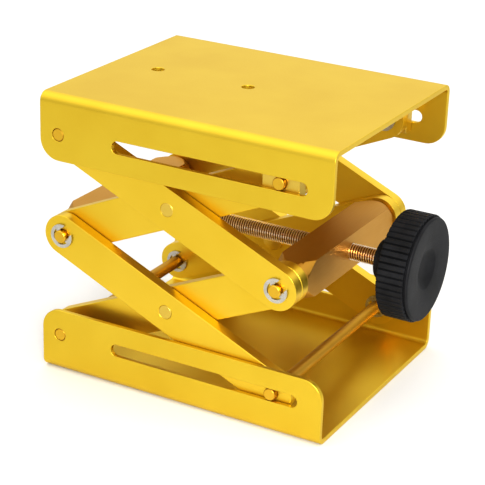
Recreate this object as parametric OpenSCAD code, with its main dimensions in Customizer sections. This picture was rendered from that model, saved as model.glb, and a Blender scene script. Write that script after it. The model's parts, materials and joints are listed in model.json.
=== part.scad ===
// Scissor lift table: two bent channels joined by a double scissor of flat
// arms. A lead screw turns in the left cross block and draws the right one
// along, which raises the top. +X runs to the knob and +Y to the back. The
// origin lies on the floor, under the middle of the whole object's length.

/* [Channels] */
// Length of both channels, left to right
plate_len = 122; // [100:1:160]
// Width of both channels over their flanges
plate_wid = 100; // [80:1:140]
// Thickness of the bent sheet
sheet_t = 2; // [1.5:0.1:3]
// Inner radius of the bends
bend_r = 1.8; // [1:0.1:3]
// Height of the flanges, from the plate's outer face
flange_h = 25.6; // [21:0.1:26]
// Radius of the flanges' free corners
corner_r = 8; // [3:0.5:10]
// Height of pivots and slots, from the plate's outer face
pivot_h = 15.35; // [13:0.05:18]
// Distance of the fixed pivots from the channel's left end
pivot_inset = 8; // [7:0.5:12]
// Distance of the slots' ends from the channel's right end
slot_inset = 10; // [7:0.5:15]
// Diameter of the two bolt holes in each plate
bolt_hole_d = 5; // [3:0.1:7]
// Distance between the two bolt holes
bolt_pitch = 40; // [20:1:48]
// Distance of the first bolt hole from the channel's left end
bolt_inset = 20.3; // [16:0.1:28]

/* [Arms] */
// Width of the arms, and of their round ends
arm_wid = 16; // [12:0.5:19.5]
// Thickness of the arms
arm_t = 4.7; // [3:0.1:6]
// Gap left between the arms with the table all the way down
closed_gap = 0.6; // [0.4:0.1:3]
// Angle of the arms above level, as drawn
rest_angle = 23.9; // [13:0.1:72]
// Angle of the arms with the table all the way up
high_angle = 74; // [60:1:75]

/* [Pins and clips] */
// Diameter of the fixed rods and of the cross blocks' journals
rod_d = 5; // [4:0.1:6]
// Diameter of the rods that run in the slots
slide_d = 4.8; // [4:0.1:6]
// Diameter of the rivets where the arms cross
rivet_d = 5.3; // [4:0.1:7]
// Diameter of the rivets' inner heads
rivet_head_d = 8.4; // [8:0.1:11]
// Thickness of the rivets' inner heads
rivet_head_t = 1; // [0.6:0.1:1.5]
// Outer diameter of the bushes on the base's fixed rod
bush_d = 9; // [8:0.5:12]
// Length of the slider blocks, along the slots
slider_len = 14.8; // [9:0.1:18]
// Height of the slider blocks
slider_h = 12; // [8:0.1:12]
// Thickness of the retaining clips
clip_t = 0.7; // [0.5:0.1:1]
// How far a retaining clip stands out around its pin
clip_rim = 2.25; // [1.8:0.05:2.5]
// Depth of the clips' grooves
groove_depth = 0.5; // [0.3:0.05:0.8]

/* [Cross blocks] */
// Width of the square bars, along the screw
bar_w = 14; // [12:0.1:17]
// Height of the square bars
bar_h = 14.4; // [12:0.1:17.5]
// Diameter of the turned shoulder at the bars' ends
shoulder_d = 12; // [9:0.1:13]
// Length over which the bars' corners are turned away
taper_len = 7.7; // [4:0.1:12]

/* [Screw and knob] */
// Outer diameter of the lead screw's thread
screw_d = 6.5; // [6:0.1:10]
// Diameter of the plain journal in the left block
journal_d = 5; // [4.5:0.1:7]
// Outer diameter of the thrust washers
washer_d = 10; // [9.5:0.1:13]
// Thickness of the thrust washers
washer_t = 0.8; // [0.5:0.1:1.2]
// Diameter of the knob over its ribs
knob_d = 41; // [28:0.5:45]
// Length of the knob's ribbed part
knob_rib_len = 10.8; // [6:0.1:20]
// Length of the smooth rim at the knob's face
knob_rim_len = 1.7; // [1:0.1:3]
// Number of ribs around the knob
knob_ribs = 52; // [24:2:60]
// Depth of the grooves between the ribs
knob_groove = 0.5; // [0.4:0.1:1.5]
// Diameter of the hub behind the knob
hub_d = 15.2; // [15:0.1:20]
// Length of the hub behind the knob
hub_len = 6.9; // [5:0.1:8]
// Gap between the channels' right end and the knob's ribbed part
knob_gap = 4.5; // [3:0.1:12]
// Diameter of the hollow in the knob's face
dimple_d = 16.5; // [10:0.5:24]
// Depth of the hollow in the knob's face
dimple_depth = 2.5; // [1:0.1:3]
// Diameter of the metal insert in the knob
insert_d = 12; // [10.5:0.1:12.5]
// Length of the metal insert in the knob
insert_len = 14; // [10:0.1:14.5]
// Diameter of the set screw in the hub
set_screw_d = 4; // [2.5:0.5:5]

/* [Fits] */
// Gap between flange and outer arm, and between outer and inner arm
layer_gap = 0.3; // [0.2:0.05:0.8]
// Gap at each side of a bush, slider, clip or washer
side_play = 0.1; // [0.05:0.01:0.2]
// Radial gap of a pin held fast in its hole
fast_fit = 0.03; // [0.01:0.01:0.05]
// Radial gap of a pin that turns in its hole
turning_fit = 0.06; // [0.03:0.01:0.1]
// Radial gap of a rod in its slot, and of the screw in the right block
sliding_fit = 0.1; // [0.05:0.01:0.2]
// Travel left over at both ends of the slots
end_play = 1.7; // [0.5:0.1:3]

/* [Hidden] */
$fn = 96;

GOLD = [0.93, 0.74, 0.22];
BRONZE = [0.74, 0.53, 0.27];
SILVER = [0.80, 0.80, 0.80];
BLACK = [0.13, 0.13, 0.14];
WHITE = [0.90, 0.89, 0.85];

// Ends of the channels: the screw's end stands out to their left, the knob
// to their right
screw_end_len = 1;
screw_end_reach = bar_w / 2 + washer_t + clip_t + 2 * side_play + screw_end_len;
left_overhang = max(0, screw_end_reach - pivot_inset);
knob_len = knob_rib_len + knob_rim_len;
overall_len = left_overhang + plate_len + knob_gap + knob_len;
left_x = left_overhang - overall_len / 2;
right_x = left_x + plate_len;

// Slots, and the arm length and angles that follow from them
slot_w = slide_d + 2 * sliding_fit;
pivot_x = left_x + pivot_inset;
slot_x1 = right_x - slot_inset - slot_w / 2;
reach = slot_x1 - end_play - pivot_x;
low_angle = asin((arm_wid + closed_gap) / reach);
arm_len = reach / cos(low_angle);
slot_x0 = pivot_x + arm_len * cos(high_angle) - end_play;

// Pivot lines as [x, z], with the arms at their rest angle
slide_x = pivot_x + arm_len * cos(rest_angle);
storey = arm_len * sin(rest_angle);
table_h = 2 * (pivot_h + storey);
BASE_LEFT = [pivot_x, pivot_h];
BASE_RIGHT = [slide_x, pivot_h];
MID_LEFT = [pivot_x, pivot_h + storey];
MID_RIGHT = [slide_x, pivot_h + storey];
TOP_LEFT = [pivot_x, pivot_h + 2 * storey];
TOP_RIGHT = [slide_x, pivot_h + 2 * storey];

// Depths from the front face: flange, outer arm, inner arm, cross block
outer_y0 = sheet_t + layer_gap;
outer_y1 = outer_y0 + arm_t;
inner_y0 = outer_y1 + layer_gap;
inner_y1 = inner_y0 + arm_t;
block_y = inner_y1 + layer_gap;
outer_clip_y = outer_y0 - side_play - clip_t;
groove_w = clip_t + side_play;
end_chamfer = 0.3;
pin_end_y = outer_clip_y - 1.2;
rod_end_y = 0.1;

// Places along the lead screw
block_face_l = pivot_x - bar_w / 2;
block_face_r = pivot_x + bar_w / 2;
screw_shoulder_x = block_face_r + washer_t + 2 * side_play;
screw_clip_x = block_face_l - washer_t - 2 * side_play - clip_t;
screw_left_x = screw_clip_x - screw_end_len;
knob_back_x = right_x + knob_gap;
hub_back_x = knob_back_x - hub_len;
knob_face_x = knob_back_x + knob_len;
insert_x = hub_back_x + 1;
screw_right_x = insert_x + insert_len - 0.5;
set_screw_x = hub_back_x + hub_len / 2;

// ---- helpers --------------------------------------------------------------

// Extrudes an X-Z outline between two depths from the front face
module slab(y0, y1) {
    translate([0, y1 - plate_wid / 2, 0])
        rotate([90, 0, 0])
            linear_extrude(height = y1 - y0)
                children();
}

// Repeats its children on the rear side
module both_sides() {
    children();
    mirror([0, 1, 0]) children();
}

// Rod across the whole width, with one groove near each end
module cross_rod(p, d, end_y, groove_y) {
    len = plate_wid - 2 * end_y;
    groove_at = plate_wid / 2 - groove_y - groove_w / 2;
    translate([p.x, 0, p.y])
        rotate([90, 0, 0])
            difference() {
                chamfered_pin(d, len);
                for (side = [-1, 1])
                    translate([0, 0, side * groove_at]) groove(d);
            }
}

// Pin about the origin along Z, with chamfered ends
module chamfered_pin(d, len) {
    cylinder(d = d, h = len - 2 * end_chamfer, center = true);
    for (side = [0, 1])
        mirror([0, 0, side])
            translate([0, 0, len / 2 - end_chamfer])
                cylinder(d1 = d, d2 = d - 2 * end_chamfer, h = end_chamfer);
}

// Ring that cuts a clip's groove out of a pin of this diameter
module groove(d) {
    difference() {
        cylinder(d = d + 2, h = groove_w, center = true);
        cylinder(d = d - 2 * groove_depth, h = groove_w + 1, center = true);
    }
}

// Retaining clip for a pin, open to the upper right
module clip_outline(d) {
    tab_w = d * 0.42;
    open_w = d * 0.84;
    outer = d / 2 + clip_rim;
    rotate(-45)
        difference() {
            union() {
                difference() {
                    circle(r = outer);
                    circle(r = d / 2 + clip_rim * 0.4);
                }
                for (turn = [0, 110, 250])
                    rotate(180 + turn)
                        translate([-tab_w / 2, 0])
                            square([tab_w, d / 2 + clip_rim * 0.5]);
            }
            circle(r = d / 2 - groove_depth + fast_fit);
            translate([-open_w / 2, 0]) square([open_w, outer + 1]);
        }
}

// Front and rear clips on a pin, from depth y
module clip_pair(p, d, y) {
    both_sides()
        slab(y, y + clip_t)
            translate(p) clip_outline(d);
}

// Flat bar with round ends between two pivots, and a hole for each pin
module arm_outline(p, q, hole_p, hole_mid, hole_q) {
    span = q - p;
    translate(p)
        rotate(atan2(span.y, span.x))
            difference() {
                union() {
                    translate([0, -arm_wid / 2]) square([arm_len, arm_wid]);
                    for (x = [0, arm_len]) translate([x, 0]) circle(d = arm_wid);
                }
                circle(d = hole_p);
                translate([arm_len / 2, 0]) circle(d = hole_mid);
                translate([arm_len, 0]) circle(d = hole_q);
            }
}

// Two rivets where outer and inner arms cross: flush outside, headed inside
module rivet_pair(p) {
    both_sides() {
        slab(outer_y0, inner_y1 + side_play) translate(p) circle(d = rivet_d);
        slab(inner_y1 + side_play, inner_y1 + side_play + rivet_head_t)
            translate(p) circle(d = rivet_head_d);
    }
}

// U section of a channel in the Y-Z plane, plate down
module rounded_foot(w, h, r) {
    translate([-w / 2, r]) square([w, h - r]);
    translate([-w / 2 + r, 0]) square([w - 2 * r, r + 0.01]);
    for (side = [-1, 1])
        translate([side * (w / 2 - r), r]) circle(r = r);
}

// Side view of a channel: flanges with rounded free corners
module flange_outline() {
    translate([left_x, -1]) square([plate_len, flange_h + 1 - corner_r]);
    translate([left_x + corner_r, -1]) square([plate_len - 2 * corner_r, flange_h + 1]);
    for (x = [left_x + corner_r, right_x - corner_r])
        translate([x, flange_h - corner_r]) circle(r = corner_r);
}

// Channel with its plate on the floor, as the base stands
module channel() {
    difference() {
        intersection() {
            translate([left_x, 0, 0])
                rotate([90, 0, 90])
                    linear_extrude(height = plate_len)
                        difference() {
                            rounded_foot(plate_wid, flange_h, bend_r + sheet_t);
                            translate([0, sheet_t])
                                rounded_foot(plate_wid - 2 * sheet_t, flange_h, bend_r);
                        }
            slab(-1, plate_wid + 1) flange_outline();
        }
        slab(-1, plate_wid + 1) {
            translate(BASE_LEFT) circle(d = rod_d + 2 * fast_fit);
            for (x = [slot_x0, slot_x1]) translate([x, pivot_h]) circle(d = slot_w);
            translate([slot_x0, pivot_h - slot_w / 2]) square([slot_x1 - slot_x0, slot_w]);
        }
        for (step = [0, 1])
            translate([left_x + bolt_inset + step * bolt_pitch, 0, -1])
                cylinder(d = bolt_hole_d, h = sheet_t + 2);
    }
}

// Square bar with turned ends: a tapered shoulder, then a journal for the arms
module cross_block(p, bore_d) {
    half = plate_wid / 2 - block_y;
    corner = norm([bar_w, bar_h]) / 2 + 0.2;
    flat_r = bar_w / 2;
    journal_l = plate_wid - 2 * pin_end_y;
    groove_at = plate_wid / 2 - outer_clip_y - clip_t / 2 + side_play / 2;
    translate([p.x, 0, p.y])
        difference() {
            union() {
                intersection() {
                    cube([bar_w, 2 * half, bar_h], center = true);
                    rotate([90, 0, 0])
                        rotate_extrude()
                            polygon([
                                [0, -half], [shoulder_d / 2, -half], [flat_r, 0.7 - half],
                                [corner, taper_len - half], [corner, half - taper_len],
                                [flat_r, half - 0.7], [shoulder_d / 2, half], [0, half]
                            ]);
                }
                rotate([90, 0, 0])
                    difference() {
                        chamfered_pin(rod_d, journal_l);
                        for (side = [-1, 1])
                            translate([0, 0, side * groove_at]) groove(rod_d);
                    }
            }
            rotate([0, 90, 0]) cylinder(d = bore_d, h = bar_w + 2, center = true);
        }
}

// Places its children on the lead screw's axis, turned so that Z runs along +X
module on_screw(x) {
    translate([x, 0, MID_LEFT.y]) rotate([0, 90, 0]) children();
}

// Rectangular block on the top slide rod, between flange and inner arm
module slider() {
    slab(sheet_t + side_play, inner_y0 - side_play)
        translate(TOP_RIGHT)
            difference() {
                square([slider_len, slider_h], center = true);
                circle(d = slide_d + 2 * turning_fit);
            }
}

// ---- base -----------------------------------------------------------------

module base_channel() {
    color(GOLD) channel();
}

module base_fixed_rod() {
    color(GOLD) cross_rod(BASE_LEFT, rod_d, rod_end_y, inner_y1 + side_play / 2);
}

module base_bushes() {
    color(GOLD)
        both_sides()
            slab(sheet_t + side_play, inner_y0 - side_play)
                translate(BASE_LEFT)
                    difference() {
                        circle(d = bush_d);
                        circle(d = rod_d + 2 * fast_fit);
                    }
}

module base_rod_clips() {
    color(SILVER) clip_pair(BASE_LEFT, rod_d, inner_y1 + side_play);
}

// ---- lower storey of the scissor ------------------------------------------

module lower_inner_arm_front() {
    color(GOLD)
        slab(inner_y0, inner_y1)
            arm_outline(BASE_LEFT, MID_RIGHT, rod_d + 2 * turning_fit,
                        rivet_d + 2 * turning_fit, rod_d + 2 * turning_fit);
}

module lower_inner_arm_rear() {
    mirror([0, 1, 0]) lower_inner_arm_front();
}

module lower_outer_arm_front() {
    color(GOLD)
        slab(outer_y0, outer_y1)
            arm_outline(MID_LEFT, BASE_RIGHT, rod_d + 2 * turning_fit,
                        rivet_d + 2 * fast_fit, slide_d + 2 * fast_fit);
}

module lower_outer_arm_rear() {
    mirror([0, 1, 0]) lower_outer_arm_front();
}

module lower_rivets() {
    color(GOLD) rivet_pair((BASE_LEFT + MID_RIGHT) / 2);
}

module base_slide_rod() {
    color(GOLD) cross_rod(BASE_RIGHT, slide_d, rod_end_y, outer_y1 + side_play / 2);
}

module base_slide_clips() {
    color(SILVER) clip_pair(BASE_RIGHT, slide_d, outer_y1 + side_play);
}

// ---- cross blocks, lead screw and knob ------------------------------------

module left_block() {
    color(GOLD) cross_block(MID_LEFT, journal_d + 2 * turning_fit);
}

module left_block_clips() {
    color(SILVER) clip_pair(MID_LEFT, rod_d, outer_clip_y);
}

module right_block() {
    color(GOLD) cross_block(MID_RIGHT, screw_d + 2 * sliding_fit);
}

module right_block_clips() {
    color(SILVER) clip_pair(MID_RIGHT, rod_d, outer_clip_y);
}

module lead_screw() {
    color(BRONZE)
        union() {
            on_screw(screw_shoulder_x)
                cylinder(d = screw_d, h = screw_right_x - screw_shoulder_x);
            on_screw(screw_left_x)
                difference() {
                    cylinder(d = journal_d, h = screw_shoulder_x - screw_left_x + 1);
                    translate([0, 0, screw_clip_x - screw_left_x + clip_t / 2])
                        groove(journal_d);
                }
        }
}

module thrust_washers() {
    color(WHITE)
        for (x = [block_face_l - side_play - washer_t, block_face_r + side_play])
            on_screw(x)
                difference() {
                    cylinder(d = washer_d, h = washer_t);
                    translate([0, 0, -1])
                        cylinder(d = journal_d + 2 * fast_fit, h = washer_t + 2);
                }
}

module screw_clip() {
    color(SILVER)
        on_screw(screw_clip_x)
            linear_extrude(height = clip_t) clip_outline(journal_d);
}

module knob() {
    groove_r = knob_groove * 1.1;
    dome_r = (pow(dimple_d / 2, 2) + pow(dimple_depth, 2)) / (2 * dimple_depth);
    insert_hole = insert_d + 2 * fast_fit;
    color(BLACK)
        difference() {
            union() {
                on_screw(hub_back_x) cylinder(d = hub_d, h = hub_len + 1);
                on_screw(knob_back_x)
                    linear_extrude(height = knob_rib_len)
                        difference() {
                            circle(d = knob_d);
                            for (rib = [0 : knob_ribs - 1])
                                rotate(rib * 360 / knob_ribs)
                                    translate([knob_d / 2 + groove_r - knob_groove, 0])
                                        circle(r = groove_r, $fn = 24);
                        }
                on_screw(knob_back_x + knob_rib_len)
                    cylinder(d1 = knob_d, d2 = knob_d - knob_rim_len, h = knob_rim_len);
            }
            on_screw(hub_back_x - 1)
                cylinder(d = insert_hole, h = insert_x + insert_len - hub_back_x + 1.1);
            on_screw(knob_face_x + dome_r - dimple_depth) sphere(r = dome_r);
            translate([set_screw_x, 0, MID_LEFT.y - hub_d])
                cylinder(d = set_screw_d + 2 * fast_fit, h = hub_d);
        }
}

module knob_insert() {
    color(BRONZE)
        difference() {
            on_screw(insert_x) cylinder(d = insert_d, h = insert_len);
            on_screw(insert_x - 1) cylinder(d = screw_d + 2 * fast_fit, h = insert_len + 2);
            translate([set_screw_x, 0, MID_LEFT.y - hub_d])
                cylinder(d = set_screw_d + 2 * fast_fit, h = hub_d);
        }
}

module knob_set_screw() {
    color(SILVER)
        translate([set_screw_x, 0, MID_LEFT.y - hub_d / 2 + 0.3])
            difference() {
                cylinder(d = set_screw_d, h = (hub_d - screw_d) / 2 - 0.5);
                translate([0, 0, -1]) cylinder(d = set_screw_d / 2, h = 2.2, $fn = 6);
            }
}

// ---- upper storey of the scissor ------------------------------------------

module upper_outer_arm_front() {
    color(GOLD)
        slab(outer_y0, outer_y1)
            arm_outline(TOP_LEFT, MID_RIGHT, rod_d + 2 * turning_fit,
                        rivet_d + 2 * fast_fit, rod_d + 2 * turning_fit);
}

module upper_outer_arm_rear() {
    mirror([0, 1, 0]) upper_outer_arm_front();
}

module upper_rivets() {
    color(GOLD) rivet_pair((TOP_LEFT + MID_RIGHT) / 2);
}

module upper_inner_arm_front() {
    color(GOLD)
        slab(inner_y0, inner_y1)
            arm_outline(MID_LEFT, TOP_RIGHT, rod_d + 2 * sliding_fit,
                        rivet_d + 2 * turning_fit, slide_d + 2 * fast_fit);
}

module upper_inner_arm_rear() {
    mirror([0, 1, 0]) upper_inner_arm_front();
}

module top_slide_rod() {
    color(GOLD) cross_rod(TOP_RIGHT, slide_d, rod_end_y, inner_y1 + side_play / 2);
}

module top_slide_clips() {
    color(SILVER) clip_pair(TOP_RIGHT, slide_d, inner_y1 + side_play);
}

// ---- top ------------------------------------------------------------------

module top_channel() {
    color(GOLD) translate([0, 0, table_h]) mirror([0, 0, 1]) channel();
}

module top_fixed_rod() {
    color(GOLD) cross_rod(TOP_LEFT, rod_d, rod_end_y, outer_y1 + side_play / 2);
}

module top_rod_clips() {
    color(SILVER) clip_pair(TOP_LEFT, rod_d, outer_y1 + side_play);
}

module slider_front() {
    color(GOLD) slider();
}

module slider_rear() {
    color(GOLD) mirror([0, 1, 0]) slider();
}

base_channel();
base_fixed_rod();
base_bushes();
base_rod_clips();
lower_inner_arm_front();
lower_inner_arm_rear();
lower_outer_arm_front();
lower_outer_arm_rear();
lower_rivets();
base_slide_rod();
base_slide_clips();
left_block();
left_block_clips();
lead_screw();
thrust_washers();
screw_clip();
knob();
knob_insert();
knob_set_screw();
right_block();
right_block_clips();
upper_outer_arm_front();
upper_outer_arm_rear();
upper_rivets();
top_channel();
top_fixed_rod();
top_rod_clips();
upper_inner_arm_front();
upper_inner_arm_rear();
top_slide_rod();
top_slide_clips();
slider_front();
slider_rear();
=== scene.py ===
"""Finish of a small scissor lift table: gold anodised channels and arms, a brass lead
screw and a moulded black knob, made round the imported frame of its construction."""

import json
import math

import bmesh
import bpy
from mathutils import Euler, Matrix, Vector


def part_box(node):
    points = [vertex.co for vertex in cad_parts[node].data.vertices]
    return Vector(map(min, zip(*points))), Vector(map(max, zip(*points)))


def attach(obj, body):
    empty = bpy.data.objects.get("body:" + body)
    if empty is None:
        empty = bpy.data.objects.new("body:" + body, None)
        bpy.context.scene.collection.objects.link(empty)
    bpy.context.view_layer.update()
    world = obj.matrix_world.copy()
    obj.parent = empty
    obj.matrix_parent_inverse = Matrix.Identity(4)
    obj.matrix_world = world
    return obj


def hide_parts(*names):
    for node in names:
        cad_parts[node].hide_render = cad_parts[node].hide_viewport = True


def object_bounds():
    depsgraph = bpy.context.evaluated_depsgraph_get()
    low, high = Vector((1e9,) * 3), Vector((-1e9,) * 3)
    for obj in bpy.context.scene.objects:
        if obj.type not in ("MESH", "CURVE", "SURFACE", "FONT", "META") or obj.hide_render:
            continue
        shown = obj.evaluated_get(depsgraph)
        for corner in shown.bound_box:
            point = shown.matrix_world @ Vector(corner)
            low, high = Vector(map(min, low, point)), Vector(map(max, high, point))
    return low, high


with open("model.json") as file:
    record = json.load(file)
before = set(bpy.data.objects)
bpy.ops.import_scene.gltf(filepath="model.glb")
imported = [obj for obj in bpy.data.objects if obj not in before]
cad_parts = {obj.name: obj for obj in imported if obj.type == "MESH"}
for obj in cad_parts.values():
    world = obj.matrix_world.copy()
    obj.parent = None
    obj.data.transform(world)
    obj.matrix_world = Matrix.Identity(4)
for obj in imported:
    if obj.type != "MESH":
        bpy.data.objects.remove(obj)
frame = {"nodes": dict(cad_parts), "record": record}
cad_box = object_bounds()

MM = 0.001
NODES = frame["nodes"]
BODY_OF = {n: b for b, names in frame["record"]["behaviour"]["bodies"].items() for n in names}
# these turn a mesh made up Z onto X and onto Y
ALONG_X = Euler((0, math.pi / 2, 0)).to_matrix().to_4x4()
ALONG_Y = Euler((-math.pi / 2, 0, 0)).to_matrix().to_4x4()


def middle(node):
    """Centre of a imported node's box."""
    low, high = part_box(node)
    return (low + high) / 2


# ---- trees, colours and small tools -------------------------------------------


def add(tree, kind, settings=None, links=None):
    """Adds one node. Capitalised names and numbers are its sockets, other names its properties."""
    made = tree.nodes.new(kind)
    for key, value in (settings or {}).items():
        if isinstance(key, int) or key[0].isupper():
            made.inputs[key].default_value = value
        else:
            setattr(made, key, value)
    for key, source in (links or {}).items():
        tree.links.new(source, made.inputs[key])
    return made


def linear(code):
    """An sRGB hex value such as #F4C430 as linear RGBA."""
    channels = [int(code[i:i + 2], 16) / 255 for i in (1, 3, 5)]
    return [c / 12.92 if c <= 0.04045 else ((c + 0.055) / 1.055) ** 2.4 for c in channels] + [1]


def per_metre(size_mm):
    """Texture scale that gives a pattern of this size."""
    return 1 / (size_mm * MM)


# ---- finishes -----------------------------------------------------------------


def finish_of(name, metallic, roughness):
    """A new material with its shader, ready for its patterns."""
    made = bpy.data.materials.new(name)
    made.use_nodes = True
    tree = made.node_tree
    tree.nodes.clear()
    shader = add(tree, "ShaderNodeBsdfPrincipled", {"Metallic": metallic, "Roughness": roughness})
    add(tree, "ShaderNodeOutputMaterial", links={"Surface": shader.outputs["BSDF"]})
    return made, tree, shader


def grain(tree, size_mm, stretch=(1, 1, 1), detail=2.0):
    """Noise of this size on the piece's own coordinates, drawn out by a stretch along its axes."""
    place = add(tree, "ShaderNodeTexCoord")
    mapped = add(tree, "ShaderNodeMapping", {"vector_type": "TEXTURE", "Scale": stretch},
                 {"Vector": place.outputs["Object"]})
    noise = add(tree, "ShaderNodeTexNoise", {"Scale": per_metre(size_mm), "Detail": detail},
                {"Vector": mapped.outputs["Vector"]})
    return noise.outputs["Fac"]


def spread(tree, field, low, high):
    """Maps a noise field, which lies mostly between 0.3 and 0.7, to a range."""
    mapped = add(tree, "ShaderNodeMapRange",
                 {"From Min": 0.3, "From Max": 0.7, "To Min": low, "To Max": high}, {"Value": field})
    return mapped.outputs["Result"]


def tint(tree, shader, field, dark, light):
    """Colours a shader between two hex values along a noise field."""
    mix = add(tree, "ShaderNodeMix", {"data_type": "RGBA", 6: linear(dark), 7: linear(light)},
              {0: spread(tree, field, 0, 1)})
    tree.links.new(mix.outputs[2], shader.inputs["Base Color"])


def relief(tree, shader, field, depth_mm, strength):
    """Raises a surface by a noise field of this depth."""
    bump = add(tree, "ShaderNodeBump", {"Distance": depth_mm * MM, "Strength": strength}, {"Height": field})
    tree.links.new(bump.outputs["Normal"], shader.inputs["Normal"])


def anodised_gold(name, dark, light, roughness, stretch=(1, 1, 1)):
    """Aluminium blasted or drawn to a satin, then anodised and dyed gold. The metal shines through
    the dyed oxide, so highlights stay yellow and each further reflection turns browner."""
    made, tree, shader = finish_of(name, 1.0, roughness)
    # the dye also colours light that only grazes the surface
    shader.inputs["Specular Tint"].default_value = linear("#FFFBF0")
    # the dye lies a little thicker here and there, in clouds of about 25 mm
    tint(tree, shader, grain(tree, 25), dark, light)
    # the satin's own grain is near 0.1 mm; it is drawn at 0.4 mm to show at all
    satin = grain(tree, 0.4, stretch)
    tree.links.new(spread(tree, satin, roughness - 0.03, roughness + 0.03), shader.inputs["Roughness"])
    relief(tree, shader, satin, 0.004, 0.15)
    return made


def hardware_metal(name, dark, light, roughness, patch_mm):
    """Bright metal of the small hardware, whose tint drifts a little in patches."""
    made, tree, shader = finish_of(name, 1.0, roughness)
    tint(tree, shader, grain(tree, patch_mm, detail=1.0), dark, light)
    # rub marks are finer than 0.05 mm; they are drawn at 0.3 mm to show at all
    scratches = grain(tree, 0.3, detail=3.0)
    tree.links.new(spread(tree, scratches, roughness - 0.06, roughness + 0.08), shader.inputs["Roughness"])
    return made


def thread_with_painted_shade_and_highlight(name, dark, light, roughness, axis, root, crest):
    """Cut brass thread along X, with painted shade in its grooves and a painted highlight on its crests."""
    made, tree, shader = finish_of(name, 1.0, roughness)
    place = add(tree, "ShaderNodeTexCoord")
    across = add(tree, "ShaderNodeVectorMath", {"operation": "MULTIPLY", 1: (0, 1, 1)},
                 {0: place.outputs["Object"]})
    away = add(tree, "ShaderNodeVectorMath", {"operation": "DISTANCE", 1: (0, axis.y, axis.z)},
               {0: across.outputs[0]})
    # the painted shade fills the lower part of the groove
    painted_light_share = add(tree, "ShaderNodeMapRange", {"From Min": root + 0.3 * (crest - root), "From Max": crest},
               {"Value": away.outputs["Value"]})
    mix = add(tree, "ShaderNodeMix", {"data_type": "RGBA", 6: linear(dark), 7: linear(light)},
              {0: painted_light_share.outputs["Result"]})
    tree.links.new(mix.outputs[2], shader.inputs["Base Color"])
    return made


def moulded_plastic(name, dark, light, roughness):
    """Plastic moulded in a spark-eroded tool: an even fine texture that breaks the gloss."""
    made, tree, shader = finish_of(name, 0.0, roughness)
    shader.inputs["IOR"].default_value = 1.50
    # the texture takes most of the sheen away
    shader.inputs["Specular IOR Level"].default_value = 0.11
    tint(tree, shader, grain(tree, 6), dark, light)
    # spark texture is near 0.05 mm; it is drawn at 0.3 mm to show at all
    texture = grain(tree, 0.3, detail=2.0)
    tree.links.new(spread(tree, texture, roughness - 0.05, roughness + 0.06), shader.inputs["Roughness"])
    relief(tree, shader, texture, 0.02, 0.3)
    return made


SHEET = anodised_gold("blasted_gold_anodised_sheet", "#DCBA39", "#E1C13F", 0.39)
FLAT_BAR = anodised_gold("blasted_gold_anodised_flat_bar", "#E4C03B", "#E9C642", 0.38)
# gold darkened and reddened with painted shade, for the bars that sit inside the channels
SQUARE_BAR_PAINTED_SHADE = anodised_gold("drawn_gold_anodised_square_bar_painted_shade", "#BC8A34", "#C6943F", 0.42, (1, 20, 1))
# gold darkened and browned with painted shade, for the rods that sit inside the channels
ROD_PAINTED_SHADE = anodised_gold("turned_gold_anodised_rod_painted_shade", "#B5882A", "#C19433", 0.44, (1, 10, 1))
JOURNAL = anodised_gold("turned_gold_anodised_journal", "#D8AC36", "#E0B43C", 0.33)
RIVET = anodised_gold("pressed_gold_anodised_rivet", "#D7B750", "#E0C25B", 0.38)
BRASS = hardware_metal("machined_brass", "#C79B4F", "#D9B168", 0.30, 3.0)
CLIP = hardware_metal("nickel_plated_spring_steel", "#BAB6AC", "#CBC7BD", 0.30, 3.0)
GRUB = hardware_metal("blackened_steel", "#2A2A2C", "#3C3C3E", 0.40, 1.0)
KNOB = moulded_plastic("moulded_black_phenolic", "#1B1B1C", "#242426", 0.5)
WASHER = moulded_plastic("moulded_white_nylon", "#DCD8CC", "#E6E3D8", 0.50)


# ---- meshes -------------------------------------------------------------------


def shown(name, mesh, material, body, slot, *nodes):
    """Places a finished mesh on its body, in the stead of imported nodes."""
    made = bpy.data.objects.new(name, mesh)
    bpy.context.scene.collection.objects.link(made)
    mesh.materials.clear()
    mesh.materials.append(material)
    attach(made, body)
    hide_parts(*nodes)
    return made


def smooth_except(mesh, degrees):
    """Smooth shading that keeps edges sharper than this angle."""
    mesh.shade_smooth()
    mesh.set_sharp_from_angle(angle=math.radians(degrees))
    return mesh


def changed(mesh, kind, **settings):
    """A mesh as one modifier of this kind leaves it."""
    holder = bpy.data.objects.new("holder", mesh)
    bpy.context.scene.collection.objects.link(holder)
    modifier = holder.modifiers.new("change", kind)
    for key, value in settings.items():
        setattr(modifier, key, value)
    graph = bpy.context.evaluated_depsgraph_get()
    result = bpy.data.meshes.new_from_object(holder.evaluated_get(graph))
    bpy.data.objects.remove(holder)
    return result


def welded(node):
    """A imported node's skin as one welded mesh with whole flat faces."""
    skin = bmesh.new()
    skin.from_mesh(NODES[node].data)
    bmesh.ops.remove_doubles(skin, verts=skin.verts, dist=0.0005 * MM)
    bmesh.ops.dissolve_limit(skin, angle_limit=math.radians(0.4), verts=skin.verts, edges=skin.edges)
    mesh = bpy.data.meshes.new(node)
    skin.to_mesh(mesh)
    skin.free()
    return mesh


def eased(node, edge_mm, steps=2):
    """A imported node's skin with every sharp edge rounded off by this much."""
    rounded = changed(welded(node), "BEVEL", width=edge_mm * MM, segments=steps, limit_method="ANGLE",
                      angle_limit=math.radians(38), miter_outer="MITER_ARC")
    # large faces keep their own normal, so that they stay flat up to the rounding
    return changed(smooth_except(rounded, 32), "WEIGHTED_NORMAL", keep_sharp=True, weight=100)


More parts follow.
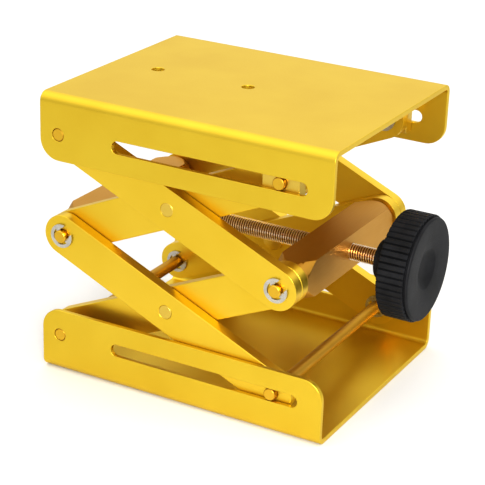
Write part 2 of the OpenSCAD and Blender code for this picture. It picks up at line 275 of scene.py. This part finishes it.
def turned(outline, sides, marks=None):
    """Turns an outline of (along, radius) points about Z, its ends closed. marks is one value for
    each point of the outline, kept as the attribute that the knob's ribs read."""
    skin = bmesh.new()
    layer = skin.verts.layers.float.new("ribbed")
    rings = []
    for number, (along, radius) in enumerate(outline):
        count = 1 if radius < 1e-9 else sides
        ring = []
        for step in range(count):
            angle = 2 * math.pi * step / sides
            vert = skin.verts.new((radius * math.cos(angle), radius * math.sin(angle), along))
            vert[layer] = marks[number] if marks else 0.0
            ring.append(vert)
        rings.append(ring)
    for lower, upper in zip(rings, rings[1:]):
        for step in range(sides):
            after = (step + 1) % sides
            corners = [lower[step % len(lower)], lower[after % len(lower)],
                       upper[after % len(upper)], upper[step % len(upper)]]
            skin.faces.new(list(dict.fromkeys(corners)))
    bmesh.ops.recalc_face_normals(skin, faces=skin.faces)
    mesh = bpy.data.meshes.new("turned")
    skin.to_mesh(mesh)
    skin.free()
    return mesh


def lay_along_x(mesh, start):
    """Turns a mesh made up Z onto X, beginning at this point."""
    mesh.transform(Matrix.Translation(start) @ ALONG_X)


def fillet(centre_x, centre_r, radius, start, end, steps=5):
    """Points of an arc in an outline, between two angles in degrees. 0 points along, 90 outwards."""
    angles = [math.radians(start + (end - start) * i / steps) for i in range(steps + 1)]
    return [(centre_x + radius * math.cos(a), centre_r + radius * math.sin(a)) for a in angles]


def new_tree(name, inputs):
    """A geometry tree with named inputs, given as (name, kind) pairs, and its group input."""
    tree = bpy.data.node_groups.new(name, "GeometryNodeTree")
    tree.interface.new_socket("Geometry", in_out="OUTPUT", socket_type="NodeSocketGeometry")
    for label, kind in inputs:
        tree.interface.new_socket(label, in_out="INPUT", socket_type="NodeSocket" + kind)
    return tree, tree.nodes.new("NodeGroupInput").outputs


def close_tree(tree, geometry, material):
    """Ends a geometry tree: real faces in the given material."""
    real = add(tree, "GeometryNodeRealizeInstances", links={"Geometry": geometry})
    painted = add(tree, "GeometryNodeSetMaterial",
                  links={"Geometry": real.outputs[0], "Material": material})
    add(tree, "NodeGroupOutput", links={0: painted.outputs[0]})


def grown(name, tree, values, source=None):
    """Runs a geometry tree and returns what it makes as a plain mesh."""
    holder = bpy.data.objects.new(name, source or bpy.data.meshes.new(name))
    bpy.context.scene.collection.objects.link(holder)
    modifier = holder.modifiers.new("maker", "NODES")
    modifier.node_group = tree
    for item in tree.interface.items_tree:
        if item.in_out == "INPUT" and item.name in values:
            modifier[item.identifier] = values[item.name]
    graph = bpy.context.evaluated_depsgraph_get()
    mesh = bpy.data.meshes.new_from_object(holder.evaluated_get(graph))
    holder.modifiers.remove(modifier)
    bpy.data.objects.remove(holder)
    return mesh


def joined(meshes):
    """Several meshes as one."""
    skin = bmesh.new()
    for mesh in meshes:
        skin.from_mesh(mesh)
    whole = bpy.data.meshes.new("joined")
    skin.to_mesh(whole)
    skin.free()
    return whole


# ---- channels, arms, blocks and small parts ------------------------------------


def make_channels():
    for node in ("base_channel", "top_channel"):
        shown(node + "_bent_sheet", eased(node, 0.3, 3), SHEET, BODY_OF[node], "channel_sheet", node)


def make_arms():
    for storey in ("lower", "upper"):
        for layer in ("inner", "outer"):
            for side in ("front", "rear"):
                node = f"{storey}_{layer}_arm_{side}"
                shown(node + "_bar", eased(node, 0.35, 3), FLAT_BAR, BODY_OF[node], "arm_bar", node)


def brighten(piece, is_turned):
    """Gives the faces that pass a test the finish of a turned journal, brighter as it carries none of the
    painted shade of the bar and rod finishes.
    """
    piece.data.materials.append(JOURNAL)
    for face in piece.data.polygons:
        face.material_index = 1 if is_turned(face) else 0


def make_blocks():
    """Square bars with a turned journal at each end."""
    # the bars are square to just short of the inner arms
    journal_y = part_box("lower_inner_arm_rear")[0].y - 0.1 * MM
    for node in ("left_block", "right_block"):
        made = shown(node + "_turned_bar", eased(node, 0.25), SQUARE_BAR_PAINTED_SHADE, BODY_OF[node], "block_bar", node)
        # the square body keeps its painted shade, the turned journals get the unshaded finish
        brighten(made, lambda face: abs(face.center.y) > journal_y)


def make_sliders():
    for side in ("front", "rear"):
        node = "slider_" + side
        shown(node + "_pad", eased(node, 0.3), RIVET, BODY_OF[node], "slider", node)


def make_clips():
    for node in ("base_rod_clips", "base_slide_clips", "left_block_clips", "right_block_clips",
                 "top_rod_clips", "top_slide_clips", "screw_clip"):
        shown(node + "_stamped", eased(node, 0.12), CLIP, BODY_OF[node], "clip_steel", node)


def make_rods():
    """Drawn rods, their ends faced on a lathe. The rod finish carries painted shade; the end faces take the
    journal finish without it.
    """
    for node in ("base_fixed_rod", "base_slide_rod", "top_fixed_rod", "top_slide_rod"):
        made = shown(node + "_turned", eased(node, 0.08), ROD_PAINTED_SHADE, BODY_OF[node], "rod", node)
        brighten(made, lambda face: abs(face.normal.y) > 0.9)


def paint_hidden_parts():
    """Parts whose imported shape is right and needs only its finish."""
    for node, material in (("base_bushes", ROD_PAINTED_SHADE), ("thrust_washers", WASHER),
                           ("knob_insert", BRASS), ("knob_set_screw", GRUB)):
        NODES[node].data.materials.clear()
        NODES[node].data.materials.append(material)


# ---- rivets -------------------------------------------------------------------


def rivet_tree():
    """Sets a turned rivet at the front and, turned half round, at the rear."""
    tree, inlet = new_tree("rivets_across_the_width", (
        ("Geometry", "Geometry"), ("Centre", "Vector"), ("Half Width", "Float"), ("Material", "Material")))
    minus_half = add(tree, "ShaderNodeMath", {"operation": "MULTIPLY", 1: -1.0}, {0: inlet["Half Width"]})
    front = add(tree, "ShaderNodeCombineXYZ", links={"Y": minus_half.outputs[0]})
    width = add(tree, "ShaderNodeMath", {"operation": "MULTIPLY", 1: 2.0}, {0: inlet["Half Width"]})
    step = add(tree, "ShaderNodeCombineXYZ", links={"Y": width.outputs[0]})
    start = add(tree, "ShaderNodeVectorMath", {"operation": "ADD"},
                {0: inlet["Centre"], 1: front.outputs[0]})
    places = add(tree, "GeometryNodeMeshLine", {"Count": 2},
                 {"Start Location": start.outputs[0], "Offset": step.outputs[0]})
    number = add(tree, "GeometryNodeInputIndex")
    half_turn = add(tree, "ShaderNodeMath", {"operation": "MULTIPLY", 1: math.pi}, {0: number.outputs[0]})
    facing = add(tree, "ShaderNodeCombineXYZ", links={"Z": half_turn.outputs[0]})
    set_in = add(tree, "GeometryNodeInstanceOnPoints", links={
        "Points": places.outputs[0], "Instance": inlet["Geometry"], "Rotation": facing.outputs[0]})
    close_tree(tree, set_in.outputs[0], inlet["Material"])
    return tree


def make_rivets():
    """Rivets pressed flush outside, with a flat round head inside."""
    tree = rivet_tree()
    radius, ease = 2.65 * MM, 0.12 * MM
    head_radius, head_thick = 4.2 * MM, 1.0 * MM
    # the two arms, with the play between and behind them
    held = 9.8 * MM
    length = held + head_thick
    outline = [(0, 0), (0, radius * 0.55), (ease / 4, radius - ease), (ease, radius),
               (held, radius), (held, head_radius - ease),
               (held + ease, head_radius), (length - ease, head_radius),
               (length, head_radius - 2 * ease), (length, 0)]
    for node in ("lower_rivets", "upper_rivets"):
        outer_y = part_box(node.replace("rivets", "outer_arm_front"))[0].y
        one = turned(outline, 48)
        one.transform(ALONG_Y)
        mesh = grown(node, tree, {"Centre": middle(node), "Half Width": -outer_y, "Material": RIVET}, one)
        shown(node + "_pressed", smooth_except(mesh, 30), RIVET, BODY_OF[node], "rivet", node)


# ---- lead screw ---------------------------------------------------------------


def thread_tree():
    """Winds a tooth in a right-hand helix up a core, from the start along +Z."""
    tree, inlet = new_tree("cut_thread", (
        ("Core Radius", "Float"), ("Tooth Height", "Float"), ("Pitch", "Float"), ("Length", "Float"),
        ("Material", "Material")))
    turns = add(tree, "ShaderNodeMath", {"operation": "DIVIDE"}, {0: inlet["Length"], 1: inlet["Pitch"]})
    helix = add(tree, "GeometryNodeCurveSpiral", {"Resolution": 40, "Reverse": True}, {
        "Rotations": turns.outputs[0], "Start Radius": inlet["Core Radius"],
        "End Radius": inlet["Core Radius"], "Height": inlet["Length"]})
    upright = add(tree, "GeometryNodeSetCurveNormal", {"mode": "Z_UP"}, {"Curve": helix.outputs[0]})
    # wide at the foot and narrow at the crest, with a little of the core bare between the turns
    foot = add(tree, "ShaderNodeMath", {"operation": "MULTIPLY", 1: 0.92}, {0: inlet["Pitch"]})
    crest = add(tree, "ShaderNodeMath", {"operation": "MULTIPLY", 1: 0.3}, {0: inlet["Pitch"]})
    tooth = add(tree, "GeometryNodeCurvePrimitiveQuadrilateral", {"mode": "TRAPEZOID", "Offset": 0.0}, {
        "Height": inlet["Tooth Height"], "Bottom Width": foot.outputs[0], "Top Width": crest.outputs[0]})
    # a little under half its height, so that its foot is sunk in the core
    half = add(tree, "ShaderNodeMath", {"operation": "MULTIPLY", 1: 0.48}, {0: inlet["Tooth Height"]})
    lift = add(tree, "ShaderNodeCombineXYZ", links={"X": half.outputs[0]})
    outwards = add(tree, "GeometryNodeTransform", {"Rotation": (0, 0, -math.pi / 2)},
                   {"Geometry": tooth.outputs[0], "Translation": lift.outputs[0]})
    winding = add(tree, "GeometryNodeCurveToMesh", {"Fill Caps": True},
                  {"Curve": upright.outputs[0], "Profile Curve": outwards.outputs[0]})
    core = add(tree, "GeometryNodeMeshCylinder", {"Vertices": 64},
               {"Radius": inlet["Core Radius"], "Depth": inlet["Length"]})
    half_length = add(tree, "ShaderNodeMath", {"operation": "MULTIPLY", 1: 0.5}, {0: inlet["Length"]})
    rise = add(tree, "ShaderNodeCombineXYZ", links={"Z": half_length.outputs[0]})
    stood = add(tree, "GeometryNodeTransform",
                links={"Geometry": core.outputs[0], "Translation": rise.outputs[0]})
    both = add(tree, "GeometryNodeJoinGeometry", links={0: stood.outputs[0]})
    tree.links.new(winding.outputs[0], both.inputs[0])
    close_tree(tree, both.outputs[0], inlet["Material"])
    return tree


def make_lead_screw():
    """Screw with a cut 1 mm thread, and a plain grooved journal at its left end."""
    low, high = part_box("lead_screw")
    axis = middle("lead_screw")
    outer = (high.z - low.z) / 2
    pitch, tooth = 1.0 * MM, 0.6 * MM
    core = outer - tooth
    # painted shade in the grooves, painted highlight on the crests
    finish = thread_with_painted_shade_and_highlight("cut_brass_thread", "#A2703A", "#FFF0D6", 0.30, axis, core, outer)
    shoulder_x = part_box("thrust_washers")[1].x + 0.1 * MM
    start_x = shoulder_x + pitch
    length = high.x - start_x - pitch
    thread = grown("thread", thread_tree(), {
        "Core Radius": core, "Tooth Height": tooth * 1.04, "Pitch": pitch, "Length": length,
        "Material": finish})
    lay_along_x(thread, (start_x, axis.y, axis.z))
    journal, groove, ease = 2.5 * MM, 2.0 * MM, 0.3 * MM
    clip_low, clip_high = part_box("screw_clip")
    groove_start, groove_end = clip_low.x - 0.05 * MM, clip_high.x + 0.05 * MM
    chamfer = 0.5 * MM
    run_out = start_x + 0.4 * MM
    end = turned([
        (low.x, 0), (low.x, journal - ease), (low.x + ease, journal),
        (groove_start, journal), (groove_start, groove), (groove_end, groove), (groove_end, journal),
        (shoulder_x, journal), (shoulder_x, outer - chamfer), (shoulder_x + chamfer, outer),
        (start_x - 0.1 * MM, outer), (run_out, core), (run_out, 0)], 64)
    lay_along_x(end, (0, axis.y, axis.z))
    bare_from = high.x - 2 * pitch
    tip = turned([(bare_from, 0), (bare_from, core), (high.x - ease, core),
                  (high.x, core - 2 * ease), (high.x, 0)], 64)
    lay_along_x(tip, (0, axis.y, axis.z))
    mesh = smooth_except(joined([thread, end, tip]), 28)
    shown("lead_screw_threaded", mesh, finish, "screw", "screw", "lead_screw")


# ---- knob ---------------------------------------------------------------------


def rib_tree():
    """Sinks even grooves into the marked part of a turned mesh about Z, which leaves ribs."""
    tree, inlet = new_tree("ribs_of_the_knob", (
        ("Geometry", "Geometry"), ("Ribs", "Float"), ("Groove Depth", "Float"), ("Groove Share", "Float"),
        ("Material", "Material")))
    place = add(tree, "GeometryNodeInputPosition")
    parts = add(tree, "ShaderNodeSeparateXYZ", links={0: place.outputs[0]})
    angle = add(tree, "ShaderNodeMath", {"operation": "ARCTAN2"},
                {0: parts.outputs["Y"], 1: parts.outputs["X"]})
    ribs_per_radian = add(tree, "ShaderNodeMath", {"operation": "DIVIDE", 1: 2 * math.pi},
                          {0: inlet["Ribs"]})
    ribs_passed = add(tree, "ShaderNodeMath", {"operation": "MULTIPLY"},
                      {0: angle.outputs[0], 1: ribs_per_radian.outputs[0]})
    # 0 at a groove's middle, 0.5 at a rib's
    off_groove = add(tree, "ShaderNodeMath", {"operation": "PINGPONG", 1: 0.5}, {0: ribs_passed.outputs[0]})
    half_share = add(tree, "ShaderNodeMath", {"operation": "MULTIPLY", 1: 0.5}, {0: inlet["Groove Share"]})
    sunk = add(tree, "ShaderNodeMapRange",
               {"interpolation_type": "SMOOTHSTEP", "From Min": 0.0, "To Min": 1.0, "To Max": 0.0},
               {"Value": off_groove.outputs[0], "From Max": half_share.outputs[0]})
    mark = add(tree, "GeometryNodeInputNamedAttribute", {"data_type": "FLOAT", "Name": "ribbed"})
    depth = add(tree, "ShaderNodeMath", {"operation": "MULTIPLY"},
                {0: sunk.outputs[0], 1: inlet["Groove Depth"]})
    here = add(tree, "ShaderNodeMath", {"operation": "MULTIPLY"}, {0: depth.outputs[0], 1: mark.outputs[0]})
    to_axis = add(tree, "ShaderNodeVectorMath", {"operation": "MULTIPLY", 1: (-1, -1, 0)},
                  {0: place.outputs[0]})
    inwards = add(tree, "ShaderNodeVectorMath", {"operation": "NORMALIZE"}, {0: to_axis.outputs[0]})
    push = add(tree, "ShaderNodeVectorMath", {"operation": "SCALE"},
               {0: inwards.outputs[0], "Scale": here.outputs[0]})
    moved = add(tree, "GeometryNodeSetPosition",
                links={"Geometry": inlet["Geometry"], "Offset": push.outputs[0]})
    close_tree(tree, moved.outputs[0], inlet["Material"])
    return tree


def knob_outline(back, face, radius, bore, bore_end):
    """The knob's outline from its bore round to its face, and which points the ribs reach."""
    hub, hub_len, grip_len = 7.6 * MM, 6.9 * MM, 10.8 * MM
    hub_ease, bore_ease, neck, shoulder = 0.5 * MM, 0.3 * MM, 0.8 * MM, 0.9 * MM
    grip_start, grip_end = back + hub_len, back + hub_len + grip_len
    outline = [(bore_end, 0), (bore_end, bore), (back + bore_ease, bore), (back, bore + bore_ease)]
    outline += fillet(back + hub_ease, hub - hub_ease, hub_ease, 180, 90)
    outline += fillet(grip_start - neck, hub + neck, neck, 270, 360)
    marks = [0.0] * len(outline)

    # the ribs begin on the grip's back, at a third of their depth, and end at its front edge
    edge = 0.3 * MM
    grip = fillet(grip_start + shoulder, radius - shoulder, shoulder, 180, 90, 6)
    grip += [(grip_start + grip_len * t, radius) for t in (0.3, 0.5, 0.7, 0.85)]
    grip += [(grip_end - edge, radius), (grip_end, radius - edge)]
    outline += [(grip_start, radius - 3.0 * MM)] + grip
    marks += [0.35] + [1.0] * len(grip)

    # a shallow groove parts the ribs from the smooth rim
    rim, rim_ease = radius - 0.7 * MM, 0.8 * MM
    groove_deep, groove_wide = 0.7 * MM, 0.55 * MM
    outline += [(grip_end, rim - groove_deep), (grip_end + groove_wide, rim - groove_deep),
                (grip_end + groove_wide + 0.1 * MM, rim - 0.15 * MM)]
    outline += fillet(face - rim_ease, rim - rim_ease, rim_ease, 90, 0, 6)

    # the face falls a little towards the hollow, which has a rounded lip and a flat middle
    hollow, sunk, dish = 8.0 * MM, 2.2 * MM, 0.8 * MM
    face_from, face_to = rim - 2 * rim_ease, hollow + 0.5 * MM
    outline += [(face - dish * t ** 1.5, face_from + (face_to - face_from) * t)
                for t in (0, 0.25, 0.5, 0.75, 1)]
    outline += [(face - dish - sunk * (0.06 + 0.94 * (1 - t ** 2.6)), hollow * t)
                for t in (1, 0.96, 0.9, 0.8, 0.7, 0.6, 0.5, 0.4, 0.25, 0)]
    marks += [0.0] * (len(outline) - len(marks))
    return outline, marks


def make_knob():
    """Moulded knob: a plain hub behind a ribbed grip, a smooth rim and a hollow in the face."""
    low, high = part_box("knob")
    axis = middle("knob")
    insert_low, insert_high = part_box("knob_insert")
    bore = (insert_high.z - insert_low.z) / 2 + 0.03 * MM
    bore_end = insert_high.x + 0.05 * MM
    outline, marks = knob_outline(low.x, high.x, (high.z - low.z) / 2, bore, bore_end)
    ribs, sides_per_rib = 52, 12
    core = turned(outline, ribs * sides_per_rib, marks)
    core = grown("ribbed", rib_tree(), {
        "Ribs": float(ribs), "Groove Depth": 0.85 * MM, "Groove Share": 0.4, "Material": KNOB}, core)
    lay_along_x(core, (0, axis.y, axis.z))
    # the hub's cross hole, in which the set screw sits, reaches from below the hub to the axis
    hole_radius, hole_depth = 2.05 * MM, 11.4 * MM
    hole = turned([(0, 0), (0, hole_radius), (hole_depth, hole_radius), (hole_depth, 0)], 48)
    place = Vector((middle("knob_set_screw").x, axis.y, axis.z - hole_depth))
    hole.transform(Matrix.Translation(place))
    cutter = bpy.data.objects.new("cutter", hole)
    core = changed(core, "BOOLEAN", operation="DIFFERENCE", solver="EXACT", object=cutter)
    bpy.data.objects.remove(cutter)
    shown("knob_moulded", smooth_except(core, 35), KNOB, "screw", "knob_plastic", "knob")


# ---- floor, light and camera ----------------------------------------------------


def lay_floor():
    """Plain white floor that reaches out of sight."""
    material, tree, shader = finish_of("white_paper_floor", 0.0, 0.9)
    shader.inputs["Base Color"].default_value = linear("#E3E3E1")
    shader.inputs["Specular IOR Level"].default_value = 0.0
    half = 4.0
    gap = 0.05 * MM
    mesh = bpy.data.meshes.new("floor")
    corners = [(-half, -half, 0), (half, -half, 0), (half, half, 0), (-half, half, 0)]
    mesh.from_pydata(corners, [], [(0, 1, 2, 3)])
    mesh.transform(Matrix.Translation((0, 0, cad_box[0].z - gap)))
    mesh.materials.append(material)
    floor = bpy.data.objects.new("floor", mesh)
    bpy.context.scene.collection.objects.link(floor)


def softbox(name, place, target, side, power, spread_degrees):
    """Square lamp aimed at a point, with a grid in front that narrows its spread."""
    lamp = bpy.data.lights.new(name, "AREA")
    lamp.shape = "SQUARE"
    lamp.size = side
    lamp.energy = power
    lamp.spread = math.radians(spread_degrees)
    made = bpy.data.objects.new(name, lamp)
    made.location = place
    made.rotation_euler = (Vector(target) - Vector(place)).to_track_quat("-Z", "Y").to_euler()
    made.visible_camera = False
    bpy.context.scene.collection.objects.link(made)


def light_studio():
    """A white tent, bright overhead, glowing softly at the front left and dim near the floor, and
    a small softbox with a grid at the front right."""
    world = bpy.data.worlds.new("white_tent")
    bpy.context.scene.world = world
    world.use_nodes = True
    tree = world.node_tree
    look = add(tree, "ShaderNodeTexCoord")
    # leaning a little to the back
    upwards = add(tree, "ShaderNodeVectorMath", {"operation": "DOT_PRODUCT", 1: (0, 0.3, 0.954)},
                  {0: look.outputs["Generated"]})
    overhead = add(tree, "ShaderNodeMapRange",
                   {"From Min": 0.0, "From Max": 0.9, "To Min": 0.12, "To Max": 1.37},
                   {"Value": upwards.outputs["Value"]})
    # to the front left, a third of the way up
    forwards = add(tree, "ShaderNodeVectorMath", {"operation": "DOT_PRODUCT", 1: (-0.44, -0.72, 0.54)},
                   {0: look.outputs["Generated"]})
    front = add(tree, "ShaderNodeMapRange",
                {"From Min": 0.3, "From Max": 0.95, "To Min": 0.0, "To Max": 0.54},
                {"Value": forwards.outputs["Value"]})
    glow = add(tree, "ShaderNodeMath", {"operation": "ADD"},
               {0: overhead.outputs["Result"], 1: front.outputs["Result"]})
    tent = tree.nodes["Background"]
    tent.inputs["Color"].default_value = (1, 1, 1, 1)
    tree.links.new(glow.outputs[0], tent.inputs["Strength"])
    softbox("front_right", place=(0.3, -0.5, 0.28), target=(0.02, 0, 0.02), side=0.15, power=0.17,
            spread_degrees=40)
    bpy.context.scene.view_settings.view_transform = "Standard"
    bpy.context.scene.view_settings.look = "Medium High Contrast"


def place_camera():
    """A long lens at the front right, looking down on the table and its knob."""
    camera = bpy.data.cameras.new("camera")
    camera.lens = 122.4
    camera.sensor_width = 36.0
    camera.clip_start = 0.01
    made = bpy.data.objects.new("camera", camera)
    azimuth, elevation, roll = math.radians(28.49), math.radians(22.43), math.radians(2.03)
    distance = 0.6469
    # near the middle of the channels, a little under the screw
    left_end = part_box("base_channel")[0].x
    aim = Vector((left_end + 60.3 * MM, 0, 49.1 * MM))
    turn = (Matrix.Rotation(azimuth, 3, "Z") @ Matrix.Rotation(math.pi / 2 - elevation, 3, "X")
            @ Matrix.Rotation(roll, 3, "Z"))
    made.matrix_world = Matrix.Translation(aim + turn @ Vector((0, 0, distance))) @ turn.to_4x4()
    bpy.context.scene.collection.objects.link(made)
    bpy.context.scene.camera = made


place_camera()
make_channels()
make_arms()
make_blocks()
make_sliders()
make_clips()
make_rods()
make_rivets()
make_lead_screw()
make_knob()
paint_hidden_parts()
lay_floor()
light_studio()
